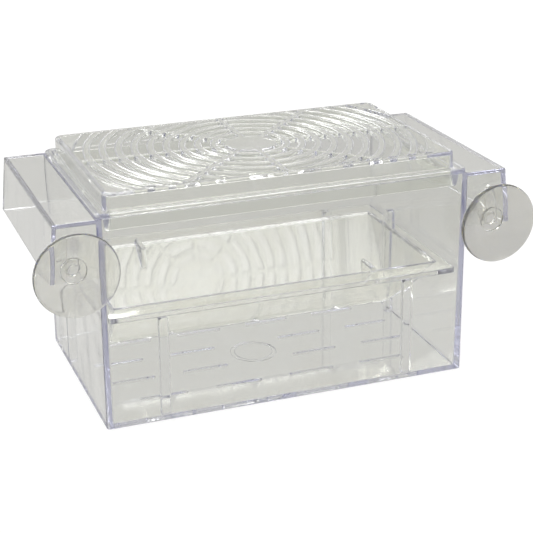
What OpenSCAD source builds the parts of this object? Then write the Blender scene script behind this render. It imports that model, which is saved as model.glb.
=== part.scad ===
// Floating fish breeding box, millimetres.
// Frame: X along the box, +Y to its back, +Z up. The origin is the centre of the tank's underside.

/* [Tank] */
// Outside length of the tank, between its two floats
tank_length = 177; // [150:1:260]
// Outside depth of the tank, front to back
tank_depth = 106; // [92:1:160]
// Height of the tank's rim above its underside
tank_height = 100; // [92:1:140]
// Radius of the tank's upright outer corners
tank_corner_r = 1.5; // [0.6:0.1:3]
// Thickness of the tank's walls at the rim
rim_wall = 2.2; // [1.6:0.1:3]
// Extra thickness that the walls gain down to the floor
wall_draft = 0.8; // [0.2:0.1:1.5]
// Thickness of the floor
floor_t = 1.8; // [1.5:0.1:3.5]

/* [Floor openings] */
// Length of one drain slot
drain_length = 23; // [12:0.5:28]
// Width of one drain slot
drain_width = 2.2; // [1.2:0.1:3]
// Distance between slot centres along a row
drain_pitch = 37; // [32:0.5:48]
// Distance between rows
row_pitch = 20.7; // [16:0.1:26]
// Distance that the two middle rows are moved outwards to clear the round recess
row_shift = 10; // [8:0.5:14]
// Plain floor left between a slot and a wall
drain_margin = 6; // [4:0.5:12]
// Diameter of the plain round recess in the middle of the floor's underside
recess_d = 23; // [12:0.1:25]
// Depth of the groove round the recess
recess_depth = 0.8; // [0.4:0.1:1]
// Width of that groove
groove_width = 2.1; // [0.8:0.1:3]
// Depth of the flat inside the groove
recess_flat = 0.4; // [0.2:0.1:0.4]

/* [Support ribs] */
// Height of the seat on the four ribs that carry the trap
seat_z = 49.8; // [42:0.2:58]
// Distance of each rib from the middle of the box
rib_x = 60; // [44:0.5:62]
// Width of a support rib
rib_width = 4.4; // [3:0.1:6]
// Distance that a support rib stands in from the wall at the floor
rib_reach = 3.4; // [2.4:0.1:5]
// Radius of the rib's top corners
rib_top_r = 1.5; // [0.5:0.1:1.5]
// Distance of the end guide ribs behind the middle
guide_y = 22; // [14:0.5:28]
// Width of an end guide rib
guide_width = 4.5; // [3:0.1:6]
// Distance that an end guide rib stands in from the wall at the floor
guide_reach = 3.3; // [2.4:0.1:3.6]
// Height of the end guide ribs above the trap's rim
guide_rise = 5.6; // [2:0.2:10]

/* [Floats] */
// Width of each float at the rim
float_width = 19.5; // [18:0.5:30]
// Height of each float
float_height = 26.5; // [22:0.5:34]
// Distance that a float widens towards its lower edge
float_flare = 2.5; // [0:0.1:4]
// Thickness of the float's walls and top
float_wall = 1.9; // [1.4:0.1:2.6]
// Distance of the suction cup's slot from the end of the tank
slot_offset = 11.8; // [10:0.1:13]
// Width of the slot at its closed upper end
slot_top_width = 3.8; // [3.2:0.1:4.4]
// Width of the slot at its open lower end
slot_mouth_width = 7.4; // [6.6:0.1:7.6]
// Height of the slot's closed end above its open end
slot_height = 19; // [17.5:0.5:20]

/* [Lid] */
// Thickness of the lid's flange
flange_t = 2; // [1.4:0.1:3]
// Radius of the corners of the lid's flange and raised panel
flange_corner_r = 4.5; // [1.5:0.1:6]
// Height of the raised panel's border above the flange
panel_rise = 7.6; // [5:0.1:14]
// Distance from the flange's edge in to the raised panel
panel_inset = 4.4; // [4:0.1:7]
// Thickness of the raised panel's plate
panel_t = 2; // [1.4:0.1:3]
// Thickness of the raised panel's upright walls
panel_wall = 2.3; // [1.6:0.1:3]
// Depth that the lid's skirt reaches down inside the tank
skirt_depth = 6.7; // [4:0.1:10]
// Clearance between the skirt and the tank's walls
skirt_gap = 0.8; // [0.4:0.1:1.2]
// Distance that the skirt's outer face leans in towards its lower edge
skirt_lead = 1; // [0.4:0.1:1.1]
// Distance that the skirt's inner face leans out towards its lower edge
skirt_flare = 1.4; // [0.4:0.1:1.5]
// Height of the slotted grille above the panel's border
grille_rise = 0.4; // [0.2:0.1:0.8]
// Radius of the grille's plain hub
hub_r = 12.8; // [8:0.1:14]
// Radius of the innermost ring bar, at its middle
first_ring_r = 17.4; // [16.5:0.1:19]
// Distance from one ring bar to the next
ring_pitch = 7.5; // [6.5:0.1:9]
// Width of a ring bar
ring_bar = 3.6; // [2.6:0.1:4]
// Number of ring bars
ring_count = 10; // [6:1:10]
// Width of a spoke
spoke_width = 3; // [2:0.1:4]
// Plate left between the slots and the panel's walls
grille_edge = 0.3; // [0.3:0.1:2]

/* [Breeding trap] */
// Clearance between the trap's rim and the tank's walls
trap_gap = 0.9; // [0.5:0.1:1.5]
// Thickness of the trap's rim
trap_rim_t = 2.6; // [1.8:0.1:3.4]
// Width of the rim along the front and back
trap_rim_side = 11; // [8:0.5:14]
// Width of the rim at the ends
trap_rim_end = 5.4; // [5.2:0.1:8]
// Radius of the rim's corners
trap_corner_r = 2; // [1:0.1:4]
// Thickness of the trap's walls
trap_wall = 2; // [1.5:0.1:2.6]
// Height above the base at which the two sloping walls would meet
trap_tip_z = 16.8; // [10:0.1:24]
// Distance that each end wall leans in towards the bottom
end_lean = 6.5; // [1:0.1:8]
// Radius between the end walls and the bottom of the sloping walls
end_round = 8; // [5:0.5:12]
// Width of the slit that the young fish drop through
slit_width = 3; // [2:0.1:4]
// Distance between the bridges that join the two sloping walls
bridge_pitch = 43; // [34:0.5:60]
// Length of a bridge at its foot
bridge_length = 7; // [5:0.5:10]
// Height of a bridge above the slit's edges
bridge_rise = 3.4; // [2.6:0.1:4.5]
// Clearance round an end guide rib
notch_gap = 0.5; // [0.3:0.1:0.8]
// Distance of each guide fin from the middle of the box
fin_x = 47; // [30:0.5:56]
// Thickness of a guide fin
fin_width = 2.6; // [1.8:0.1:3.6]
// Distance that a fin stands in from the rim's inner edge
fin_reach = 11.5; // [6:0.1:13]
// Height of a fin
fin_height = 12.4; // [9:0.1:14]
// Height of a fin above the rim
fin_rise = 1.8; // [0.6:0.1:3]

/* [Suction cups] */
// Diameter of a suction cup
cup_d = 38; // [32:0.5:42]
// Distance from the float's wall to the cup's rim
cup_depth = 9; // [8:0.1:12]
// Thickness of the cup's rim
cup_rim_t = 0.7; // [0.5:0.1:1]
// Width of the flat edge of the cup's rim
cup_land = 0.8; // [0.6:0.1:1.2]
// Depth of the cup's hollow
cup_hollow = 4.7; // [4.5:0.1:5.2]
// Diameter of the boss behind the cup
boss_d = 12; // [9.5:0.1:14]
// Thickness of the boss
boss_t = 2; // [1.4:0.1:2.4]
// Diameter of the neck that sits in the slot
neck_d = 5; // [4.6:0.1:5.2]
// Diameter of the knob inside the float
knob_d = 7.8; // [7.7:0.1:10]
// Length of the knob
knob_length = 4; // [3:0.1:6]
// Bevel round the knob's end
knob_bevel = 1.2; // [0.3:0.1:1.4]
// Clearance between the cup and each face of the float's wall
cup_gap = 0.3; // [0.2:0.1:0.5]
// Height of the left neck's middle above the slot's open end
cup_left_lift = 6; // [3:0.1:8]
// Height of the right neck's middle above the slot's open end
cup_right_lift = 3; // [3:0.1:8]

/* [Hidden] */
$fn = 72;
cut = 1;
merge = 0.6;
curve_steps = 14;
dish_power = 1.5;
spoke_lines = 4;
clear_plastic = [0.86, 0.88, 0.9, 0.4];
soft_plastic = [0.9, 0.9, 0.84, 0.75];

half_length = tank_length/2;
half_depth = tank_depth/2;
floor_half_length = half_length - rim_wall - wall_draft;
floor_half_depth = half_depth - rim_wall - wall_draft;
slot_x = half_length + slot_offset;
float_bottom_z = tank_height - float_height;
cup_left_z = float_bottom_z + cup_left_lift;
cup_right_z = float_bottom_z + cup_right_lift;

lid_top_z = tank_height + flange_t;
border_z = lid_top_z + panel_rise;
grille_z = border_z + grille_rise;
hollow_z = border_z - panel_t;
panel_half_length = half_length - panel_inset;
panel_half_depth = half_depth - panel_inset;
hollow_half_length = panel_half_length - panel_wall;
hollow_half_depth = panel_half_depth - panel_wall;
skirt_half_length = half_length - rim_wall - skirt_gap;
skirt_half_depth = half_depth - rim_wall - skirt_gap;
skirt_low_z = tank_height - skirt_depth;
grille_half_length = hollow_half_length - grille_edge;
grille_half_depth = hollow_half_depth - grille_edge;
grille_r = first_ring_r + (ring_count - 1)*ring_pitch + ring_bar/2;

// The inner face of the tank's walls at the trap's seat
seat_draft = wall_draft*(1 - seat_z/tank_height);
trap_half_length = half_length - rim_wall - seat_draft - trap_gap;
trap_half_depth = half_depth - rim_wall - seat_draft - trap_gap;
mouth_half_length = trap_half_length - trap_rim_end;
mouth_half_depth = trap_half_depth - trap_rim_side;
trap_top_z = seat_z + trap_rim_t;
guide_face_x = floor_half_length - guide_reach;
guide_top_z = trap_top_z + guide_rise;
fin_top_z = trap_top_z + fin_rise;

// Rise of the sloping walls for each millimetre outwards, so that their inner faces meet the
// rim's inner edge and their outer faces meet at the tip line with the wall's own thickness
slope_h = trap_top_z - trap_tip_z;
slope_root = sqrt(pow(slope_h, 2) + pow(mouth_half_depth, 2) - pow(trap_wall, 2));
slope = (slope_h*mouth_half_depth - trap_wall*slope_root)/(pow(mouth_half_depth, 2) - pow(trap_wall, 2));
wall_rise = trap_wall*sqrt(1 + slope*slope);
slit_z = trap_tip_z + slope*slit_width/2;
vee_floor_z = trap_tip_z + wall_rise;
end_tilt = end_lean/slope_h;
end_root = sqrt(1 + end_tilt*end_tilt);

// A slab with upright rounded corners, centred on the Z axis
module slab(length, depth, z_low, z_high, r) {
    translate([0, 0, z_low])
        linear_extrude(z_high - z_low)
            rounded_rectangle(length, depth, r);
}

module rounded_rectangle(length, depth, r) {
    square([length - 2*r, depth], center = true);
    square([length, depth - 2*r], center = true);
    for (sx = [-1, 1], sy = [-1, 1])
        translate([sx*(length/2 - r), sy*(depth/2 - r)])
            circle(r);
}

// An outline drawn in X and Z, run along Y from y_low to y_high
module along_y(y_low, y_high) {
    translate([0, y_high, 0])
        rotate([90, 0, 0])
            linear_extrude(y_high - y_low)
                children();
}

// An outline drawn in Y and Z, run along X and centred on it
module along_x(length) {
    translate([-length/2, 0, 0])
        rotate([90, 0, 90])
            linear_extrude(length)
                children();
}

// An upright rib's outline: rounded top corners, square foot
module rib_outline(width, z_low, z_high, r) {
    translate([-width/2, z_low])
        square([width, z_high - z_low - r]);
    translate([-width/2 + r, z_low])
        square([width - 2*r, z_high - z_low]);
    for (s = [-1, 1])
        translate([s*(width/2 - r), z_high - r])
            circle(r);
}

// The tank's inside, which narrows a little towards the floor
module tank_cavity() {
    over = wall_draft*cut/tank_height;
    floor_in = wall_draft*floor_t/tank_height;
    intersection() {
        along_y(-half_depth, half_depth)
            polygon([
                [-floor_half_length - floor_in, floor_t],
                [floor_half_length + floor_in, floor_t],
                [half_length - rim_wall + over, tank_height + cut],
                [-half_length + rim_wall - over, tank_height + cut]
            ]);
        along_x(tank_length)
            polygon([
                [-floor_half_depth - floor_in, floor_t],
                [floor_half_depth + floor_in, floor_t],
                [half_depth - rim_wall + over, tank_height + cut],
                [-half_depth + rim_wall - over, tank_height + cut]
            ]);
    }
}

// Four ribs on the long walls, whose tops carry the trap
module support_ribs() {
    for (sx = [-1, 1], sy = [-1, 1])
        scale([sx, sy, 1])
            translate([rib_x, 0, 0])
                along_y(floor_half_depth - rib_reach, half_depth - merge)
                    rib_outline(rib_width, floor_t - merge, seat_z, rib_top_r);
}

// One taller rib on each end wall, which the trap's rim is notched for
module end_guides() {
    for (sx = [-1, 1])
        mirror([sx < 0 ? 1 : 0, 0, 0])
            translate([guide_face_x, guide_y, 0])
                rotate([90, 0, 90])
                    linear_extrude(half_length - merge - guide_face_x)
                        rib_outline(guide_width, floor_t - merge, guide_top_z, rib_top_r);
}

module drain_slot() {
    r = drain_width/2;
    translate([0, 0, -cut])
        linear_extrude(floor_t + 2*cut) {
            square([drain_length - drain_width, drain_width], center = true);
            for (s = [-1, 1])
                translate([s*(drain_length/2 - r), 0])
                    circle(r);
        }
}

// Staggered rows of drain slots, as many as the floor has room for
module drain_slots() {
    last_x = floor_half_length - drain_margin - drain_length/2;
    last_y = floor_half_depth - drain_margin - drain_width/2;
    for (row = [0 : floor(last_y/row_pitch - 0.5)]) {
        first_x = drain_pitch/2 + (row % 2 == 0 ? row_shift : 0);
        for (x = [first_x : drain_pitch : last_x], sx = [-1, 1], sy = [-1, 1])
            translate([sx*x, sy*(row + 0.5)*row_pitch, 0])
                drain_slot();
    }
}

// The plain round recess under the floor: a groove round a shallower flat
module gate_recess() {
    difference() {
        translate([0, 0, -cut])
            cylinder(h = cut + recess_depth, d = recess_d);
        translate([0, 0, recess_flat])
            cylinder(h = recess_depth, d = recess_d - 2*groove_width);
    }
}

// A float's outline in X and Z, from the inner to the outer edge, set in by t
module float_outline(inner_x, t, z_low, z_high) {
    lean = float_flare/float_height;
    side = t*sqrt(1 + lean*lean);
    outer = half_length + float_width - side;
    polygon([
        [inner_x, z_low],
        [outer + lean*(tank_height - z_low), z_low],
        [outer + lean*(tank_height - z_high), z_high],
        [inner_x, z_high]
    ]);
}

// A float is a box that is open below, so that it traps air
module float_box() {
    difference() {
        along_y(-half_depth, half_depth)
            float_outline(half_length - tank_corner_r - merge, 0, float_bottom_z, tank_height);
        along_y(-half_depth + float_wall, half_depth - float_wall)
            float_outline(half_length, float_wall, float_bottom_z - cut, tank_height - float_wall);
        along_y(-half_depth - cut, -half_depth + float_wall + cut)
            cup_slot();
        tank_cavity();
    }
}

// The tapered slot in a float's front wall, open at its lower end
module cup_slot() {
    top_r = slot_top_width/2;
    top_z = float_bottom_z + slot_height - top_r;
    taper = (slot_mouth_width - slot_top_width)/2/(slot_height - top_r);
    mouth = slot_mouth_width/2 + taper*cut;
    translate([slot_x, 0]) {
        polygon([
            [-mouth, float_bottom_z - cut],
            [mouth, float_bottom_z - cut],
            [top_r, top_z],
            [-top_r, top_z]
        ]);
        translate([0, top_z])
            circle(top_r);
    }
}

module tank() {
    color(clear_plastic) {
        difference() {
            union() {
                difference() {
                    slab(tank_length, tank_depth, 0, tank_height, tank_corner_r);
                    tank_cavity();
                }
                support_ribs();
                end_guides();
            }
            drain_slots();
            gate_recess();
        }
        float_box();
        mirror([1, 0, 0])
            float_box();
    }
}

// Ring slots between the hub and the ring bars, cut by the spokes and by the panel's walls
module grille_slots() {
    depth = grille_z - hollow_z + 2*cut;
    difference() {
        intersection() {
            translate([0, 0, hollow_z - cut])
                for (ring = [0 : ring_count - 1])
                    difference() {
                        cylinder(h = depth, r = first_ring_r + ring*ring_pitch - ring_bar/2);
                        translate([0, 0, -cut])
                            cylinder(h = depth + 2*cut,
                                     r = ring == 0 ? hub_r : first_ring_r + (ring - 1)*ring_pitch + ring_bar/2);
                    }
            translate([-grille_half_length, -grille_half_depth, hollow_z - 2*cut])
                cube([2*grille_half_length, 2*grille_half_depth, depth + 2*cut]);
        }
        for (line = [0 : spoke_lines - 1])
            rotate([0, 0, line*180/spoke_lines])
                translate([-tank_length, -spoke_width/2, hollow_z - 3*cut])
                    cube([2*tank_length, spoke_width, depth + 4*cut]);
    }
}

// The skirt's outside or inside, whose faces lean by lean from the rim down to the lower edge
module skirt_wedge(at_x, at_y, lean, z_low, z_high) {
    low = lean*(tank_height - z_low)/skirt_depth;
    high = lean*(tank_height - z_high)/skirt_depth;
    intersection() {
        along_y(-half_depth, half_depth)
            polygon([
                [-at_x - low, z_low],
                [at_x + low, z_low],
                [at_x + high, z_high],
                [-at_x - high, z_high]
            ]);
        along_x(tank_length)
            polygon([
                [-at_y - low, z_low],
                [at_y + low, z_low],
                [at_y + high, z_high],
                [-at_y - high, z_high]
            ]);
    }
}

module lid() {
    color(clear_plastic)
        difference() {
            union() {
                slab(tank_length, tank_depth, tank_height, lid_top_z, flange_corner_r);
                intersection() {
                    skirt_wedge(skirt_half_length, skirt_half_depth, -skirt_lead,
                                skirt_low_z, tank_height + merge);
                    slab(2*skirt_half_length, 2*skirt_half_depth,
                         skirt_low_z, tank_height + merge, tank_corner_r);
                }
                slab(2*panel_half_length, 2*panel_half_depth,
                     lid_top_z - merge, border_z, flange_corner_r);
                intersection() {
                    translate([0, 0, border_z - merge])
                        cylinder(h = merge + grille_rise, r = grille_r);
                    translate([-grille_half_length, -grille_half_depth, border_z - 2*merge])
                        cube([2*grille_half_length, 2*grille_half_depth, 2*merge + grille_rise]);
                }
            }
            slab(2*hollow_half_length, 2*hollow_half_depth,
                 skirt_low_z - cut, hollow_z, tank_corner_r);
            skirt_wedge(hollow_half_length, hollow_half_depth, skirt_flare,
                        skirt_low_z - cut, tank_height);
            grille_slots();
        }
}

// The sloping walls' outline in Y and Z, shifted up by rise and cut flat at z_low
module trap_vee(rise, z_low, z_high) {
    tip = trap_tip_z + rise;
    foot = (z_low - tip)/slope;
    head = (z_high - tip)/slope;
    polygon([[-foot, z_low], [foot, z_low], [head, z_high], [-head, z_high]]);
}

// Half of the straight bottom of the outline below
function trap_flat_half(t, z_low) =
    mouth_half_length + trap_wall - t - end_tilt*(trap_top_z - z_low - end_round + t)
    - (end_round - t)*end_root;

// The trap's outline in X and Z, set in by t: its ends lean in and its lower corners are round
module trap_long_outline(t, z_low, z_high) {
    r = end_round - t;
    centre_x = trap_flat_half(t, z_low);
    centre_z = z_low + r;
    side_x = centre_x + r/end_root;
    side_z = centre_z - r*end_tilt/end_root;
    top_x = mouth_half_length + trap_wall - t - end_tilt*(trap_top_z - z_high);
    polygon([
        [-centre_x, z_low],
        [centre_x, z_low],
        [side_x, side_z],
        [top_x, z_high],
        [-top_x, z_high],
        [-side_x, side_z]
    ]);
    for (s = [-1, 1])
        translate([s*centre_x, centre_z])
            circle(r);
}

// The sloping walls' prism, closed by the leaning ends
module trap_prism(t, z_low, z_high) {
    intersection() {
        along_x(tank_length)
            trap_vee(t == 0 ? 0 : wall_rise, z_low, z_high);
        along_y(-half_depth, half_depth)
            trap_long_outline(t, z_low, z_high);
    }
}

// Tent-shaped bridges that keep the two sloping walls together across the slit
module trap_bridges() {
    intersection() {
        trap_prism(0, slit_z, trap_top_z);
        for (line = [-1 : 1])
            translate([line*bridge_pitch, 0, 0])
                along_y(-half_depth, half_depth)
                    polygon([
                        [-bridge_length/2, slit_z - cut],
                        [bridge_length/2, slit_z - cut],
                        [bridge_length/2, slit_z],
                        [0, slit_z + bridge_rise],
                        [-bridge_length/2, slit_z]
                    ]);
    }
}

// A round-ended fin on each sloping wall, one at the back left and one at the front right
module guide_fins() {
    r = fin_width/2;
    inner_y = mouth_half_depth - fin_reach;
    for (turn = [0, 180])
        rotate([0, 0, turn])
            intersection() {
                translate([-fin_x, 0, 0])
                    along_y(inner_y, mouth_half_depth + merge) {
                        translate([-r, fin_top_z - fin_height + r])
                            square([fin_width, fin_height - fin_width]);
                        for (z = [fin_top_z - fin_height + r, fin_top_z - r])
                            translate([0, z])
                                circle(r);
                    }
                trap_prism(0, slit_z, fin_top_z + cut);
            }
}

module breeding_trap() {
    notch_x = guide_face_x - notch_gap;
    notch_w = guide_width + 2*notch_gap;
    slit_half = trap_flat_half(trap_wall, vee_floor_z);
    color(clear_plastic)
        difference() {
            union() {
                difference() {
                    union() {
                        slab(2*trap_half_length, 2*trap_half_depth, seat_z, trap_top_z, trap_corner_r);
                        trap_prism(0, slit_z, trap_top_z);
                    }
                    trap_prism(trap_wall, vee_floor_z, trap_top_z + cut);
                    translate([-slit_half, -slit_width/2, slit_z - cut])
                        cube([2*slit_half, slit_width, wall_rise + 2*cut]);
                }
                trap_bridges();
                guide_fins();
            }
            for (sx = [-1, 1])
                mirror([sx < 0 ? 1 : 0, 0, 0])
                    translate([notch_x, guide_y - notch_w/2, seat_z - cut])
                        cube([trap_half_length - notch_x + cut, notch_w, trap_rim_t + 2*cut]);
        }
}

// Half of the cup's section: radius, and distance out from the float's front wall
function cup_back() = [
    for (i = [1 : curve_steps])
        let (share = i/curve_steps)
        [
            boss_d/2 + (cup_d/2 - boss_d/2)*share,
            cup_gap + boss_t + (cup_depth - cup_rim_t - cup_gap - boss_t)*pow(share, dish_power)
        ]
];

function cup_front() = [
    for (i = [0 : curve_steps])
        let (share = 1 - i/curve_steps)
        [(cup_d/2 - cup_land)*share, cup_depth - cup_hollow + cup_hollow*share*share]
];

module suction_cup(side, cup_z) {
    knob_r = knob_d/2;
    knob_end = -float_wall - cup_gap;
    color(soft_plastic)
        translate([side*slot_x, -half_depth, cup_z])
            rotate([90, 0, 0])
                rotate_extrude()
                    polygon(concat(
                        [
                            [0, knob_end - knob_length],
                            [knob_r - knob_bevel, knob_end - knob_length],
                            [knob_r, knob_end - knob_length + knob_bevel],
                            [knob_r, knob_end],
                            [neck_d/2, knob_end],
                            [neck_d/2, cup_gap],
                            [boss_d/2, cup_gap],
                            [boss_d/2, cup_gap + boss_t]
                        ],
                        cup_back(),
                        [[cup_d/2, cup_depth]],
                        cup_front()
                    ));
}

module suction_cup_left() {
    suction_cup(-1, cup_left_z);
}

module suction_cup_right() {
    suction_cup(1, cup_right_z);
}

tank();
lid();
breeding_trap();
suction_cup_left();
suction_cup_right();
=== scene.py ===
import math

import bmesh
import bpy
from mathutils import Matrix, Vector


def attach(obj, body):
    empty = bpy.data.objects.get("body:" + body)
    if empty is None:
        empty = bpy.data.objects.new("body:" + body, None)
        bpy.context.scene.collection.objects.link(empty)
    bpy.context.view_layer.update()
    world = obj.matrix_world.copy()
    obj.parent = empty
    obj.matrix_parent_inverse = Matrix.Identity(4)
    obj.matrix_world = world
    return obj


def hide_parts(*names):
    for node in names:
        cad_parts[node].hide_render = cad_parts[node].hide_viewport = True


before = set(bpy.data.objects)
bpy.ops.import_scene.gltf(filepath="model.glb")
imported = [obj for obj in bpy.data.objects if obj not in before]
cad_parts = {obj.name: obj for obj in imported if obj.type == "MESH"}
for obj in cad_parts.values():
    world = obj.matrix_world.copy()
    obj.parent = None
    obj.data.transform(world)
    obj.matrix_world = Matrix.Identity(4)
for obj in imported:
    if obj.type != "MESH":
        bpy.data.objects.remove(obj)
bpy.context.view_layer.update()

print("frame loaded:", ", ".join(sorted(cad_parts)))

scene = bpy.context.scene
mm = 0.001

# Sizes are in millimetres and angles in degrees, unless a comment or the factor mm says otherwise.
least = 0.05        # no corner or half width is smaller, so that no two points fall together
sharpAngle = 30     # an edge of a prism that turns more than this is rounded
creaseAngle = 40    # an edge that turns more than this stays a crease in the shading
justPast = 1        # how far a cutter reaches past what it cuts
past = 2
wellPast = 3


# Small helpers

def linear(hexColour):
    # an sRGB hex colour in linear light, by the curve of the sRGB standard
    values = []
    for place in (1, 3, 5):
        share = int(hexColour[place:place + 2], 16) / 255
        values.append(share / 12.92 if share <= 0.04045 else ((share + 0.055) / 1.055) ** 2.4)
    return (*values, 1.0)


def addNode(tree, kind, inputs=None, **settings):
    node = tree.nodes.new(kind)
    for key, value in settings.items():
        setattr(node, key, value)
    for key, value in (inputs or {}).items():
        if isinstance(value, bpy.types.NodeSocket):
            tree.links.new(value, node.inputs[key])
        else:
            node.inputs[key].default_value = value
    return node


def newPiece(name, points, faces):
    mesh = bpy.data.meshes.new(name)
    mesh.from_pydata([[v * mm for v in p] for p in points], [], faces)
    mesh.validate()
    piece = bpy.data.objects.new(name, mesh)
    scene.collection.objects.link(piece)
    return piece


def settle(piece):
    # the modifiers become part of a plain mesh
    graph = bpy.context.evaluated_depsgraph_get()
    made = bpy.data.meshes.new_from_object(piece.evaluated_get(graph))
    before = piece.data
    piece.modifiers.clear()
    piece.data = made
    bpy.data.meshes.remove(before)
    return piece


def combine(piece, operation, *others):
    for other in others:
        step = piece.modifiers.new(operation, "BOOLEAN")
        step.operation = operation
        step.solver = "MANIFOLD"
        step.object = other
    settle(piece)
    for other in others:
        bpy.data.objects.remove(other)
    return piece


def loftRings(name, rings):
    # rings run anticlockwise seen from above, lowest first; both ends are closed
    count = len(rings[0])
    points = [p for ring in rings for p in ring]
    faces = [list(range(count))[::-1], [(len(rings) - 1) * count + i for i in range(count)]]
    for level in range(len(rings) - 1):
        for i in range(count):
            j = (i + 1) % count
            low, high = level * count, (level + 1) * count
            faces.append([low + i, low + j, high + j, high + i])
    return newPiece(name, points, faces)


def roundedRing(halfX, halfY, corner, z, steps=5):
    corner = max(corner, least)
    ring = []
    for quarter, (sx, sy) in enumerate(((1, 1), (-1, 1), (-1, -1), (1, -1))):
        for i in range(steps + 1):
            angle = math.radians(90 * (quarter + i / steps))
            ring.append((sx * (halfX - corner) + corner * math.cos(angle),
                         sy * (halfY - corner) + corner * math.sin(angle), z))
    return ring


def quarterRound(steps):
    # points of a quarter circle of radius 1: how far in from the side, how far from the end
    turns = [math.radians(90 * i / steps) for i in range(steps + 1)]
    return [(1 - math.sin(turn), 1 - math.cos(turn)) for turn in turns]


def edgeRows(halfX, halfY, corner, z, edge, above, steps=3):
    # a quarter-round edge at height z: above says that the solid lies above it
    rows = []
    for inward, along in quarterRound(steps):
        inset, rise = edge * inward, edge * along
        rows.append((halfX - inset, halfY - inset, corner - inset, z + rise if above else z - rise))
    return rows if above else rows[::-1]


def slab(name, halfX, halfY, corner, zLow, zHigh, lowEdge, highEdge):
    rows = edgeRows(halfX, halfY, corner, zLow, lowEdge, True)
    rows += edgeRows(halfX, halfY, corner, zHigh, highEdge, False)
    return loftRings(name, [roundedRing(*row) for row in rows])


def arc(a, b, radius, start, sweep, steps):
    # points of an arc round (a, b), anticlockwise from the angle start
    turns = [math.radians(start + sweep * i / steps) for i in range(steps + 1)]
    return [(a + radius * math.cos(turn), b + radius * math.sin(turn)) for turn in turns]


def isSharp(edge):
    return edge.calc_face_angle(0) > math.radians(sharpAngle)


def roundEdges(piece, width, chosen=isSharp, segments=2):
    # turns every face outwards, and rounds the chosen edges if a width is given
    shape = bmesh.new()
    shape.from_mesh(piece.data)
    bmesh.ops.recalc_face_normals(shape, faces=shape.faces)
    if width > 0:
        bmesh.ops.bevel(shape, geom=[edge for edge in shape.edges if chosen(edge)],
                        offset=width * mm, segments=segments, profile=0.5, affect="EDGES",
                        clamp_overlap=True)
    shape.to_mesh(piece.data)
    shape.free()
    return piece


def prism(name, outline, axis, low, high, edge=0.0):
    # an outline in the two other axes, run along axis; edge rounds all its borders
    def place(a, b, run):
        return {"x": (run, a, b), "y": (a, run, b), "z": (a, b, run)}[axis]
    count = len(outline)
    points = [place(a, b, low) for a, b in outline] + [place(a, b, high) for a, b in outline]
    faces = [list(range(count)), [count + i for i in range(count)]]
    faces += [[i, (i + 1) % count, count + (i + 1) % count, count + i] for i in range(count)]
    return roundEdges(newPiece(name, points, faces), edge)


def lathe(name, profile, turn=Matrix(), steps=96):
    # profile holds (radius, height) from one pole to the other; turn places it, in millimetres
    points, faces, rows = [], [], []
    for radius, height in profile:
        if radius == 0:
            rows.append([len(points)])
            points.append(turn @ Vector((0, 0, height)))
        else:
            rows.append(list(range(len(points), len(points) + steps)))
            for i in range(steps):
                angle = 2 * math.pi * i / steps
                x, y = radius * math.cos(angle), radius * math.sin(angle)
                points.append(turn @ Vector((x, y, height)))
    for low, high in zip(rows, rows[1:]):
        for i in range(steps):
            j = (i + 1) % steps
            if len(low) == 1:
                faces.append([low[0], high[j], high[i]])
            elif len(high) == 1:
                faces.append([low[i], low[j], high[0]])
            else:
                faces.append([low[i], low[j], high[j], high[i]])
    return roundEdges(newPiece(name, points, faces), 0)


def roundCorners(points, radii, steps=4):
    # each inner corner of an open line of points gets an arc of about its radius, which
    # takes less than half of either side
    sideShare = 0.49
    made = [points[0]]
    for before, here, after, radius in zip(points, points[1:], points[2:], radii):
        a, b, c = Vector(before), Vector(here), Vector(after)
        reach = min(radius, (a - b).length * sideShare, (c - b).length * sideShare)
        if reach <= 0:
            made.append(tuple(b))
            continue
        start, end = b + (a - b).normalized() * reach, b + (c - b).normalized() * reach
        for i in range(steps + 1):
            t = i / steps
            made.append(tuple(start * (1 - t) ** 2 + b * 2 * t * (1 - t) + end * t * t))
    made.append(points[-1])
    return made


def finishSurface(piece, material):
    # flat faces stay flat, and the small rounded edges shade smoothly
    piece.data.materials.clear()
    piece.data.materials.append(material)
    for face in piece.data.polygons:
        face.use_smooth = True
        face.material_index = 0
    piece.data.set_sharp_from_angle(angle=math.radians(creaseAngle))
    even = piece.modifiers.new("even normals", "WEIGHTED_NORMAL")
    even.mode = "FACE_AREA"
    even.weight = 100
    even.keep_sharp = True
    return settle(piece)


# Camera, worked out from the box's own right angles in the photograph; the place and the
# sensor are in millimetres, and the clipping distances in metres

cameraSet = {
    "place": (-221.858, -616.732, 303.943),
    "azimuth": -19.994,
    "elevation": 19.895,
    "roll": -0.6032,
    "focalPixels": 1438.704,
    "imagePixels": 533,
    "centre": (256.0, 228.0),
    "sensor": 36.0,
    "nearest": 0.01,
    "farthest": 50,
}


def makeCamera(values):
    data = bpy.data.cameras.new("camera")
    camera = bpy.data.objects.new("camera", data)
    scene.collection.objects.link(camera)
    a, e, r = (math.radians(values[k]) for k in ("azimuth", "elevation", "roll"))
    forward = Vector((-math.sin(a) * math.cos(e), math.cos(a) * math.cos(e), -math.sin(e)))
    right = Vector((math.cos(a), math.sin(a), 0))
    up = right.cross(forward)
    x = right * math.cos(r) + up * math.sin(r)
    y = up * math.cos(r) - right * math.sin(r)
    turned = Matrix((x, y, -forward)).transposed().to_4x4()
    camera.matrix_world = Matrix.Translation(Vector(values["place"]) * mm) @ turned
    size = values["imagePixels"]
    data.sensor_width = values["sensor"]
    data.lens = values["focalPixels"] * values["sensor"] / size
    data.shift_x = (size / 2 - values["centre"][0]) / size
    data.shift_y = (values["centre"][1] - size / 2) / size
    data.clip_start = values["nearest"]
    data.clip_end = values["farthest"]
    scene.camera = camera


makeCamera(cameraSet)
print("camera placed")


# Materials

def newMaterial(name):
    material = bpy.data.materials.new(name)
    material.use_nodes = True
    material.node_tree.nodes.clear()
    return material, material.node_tree


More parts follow.
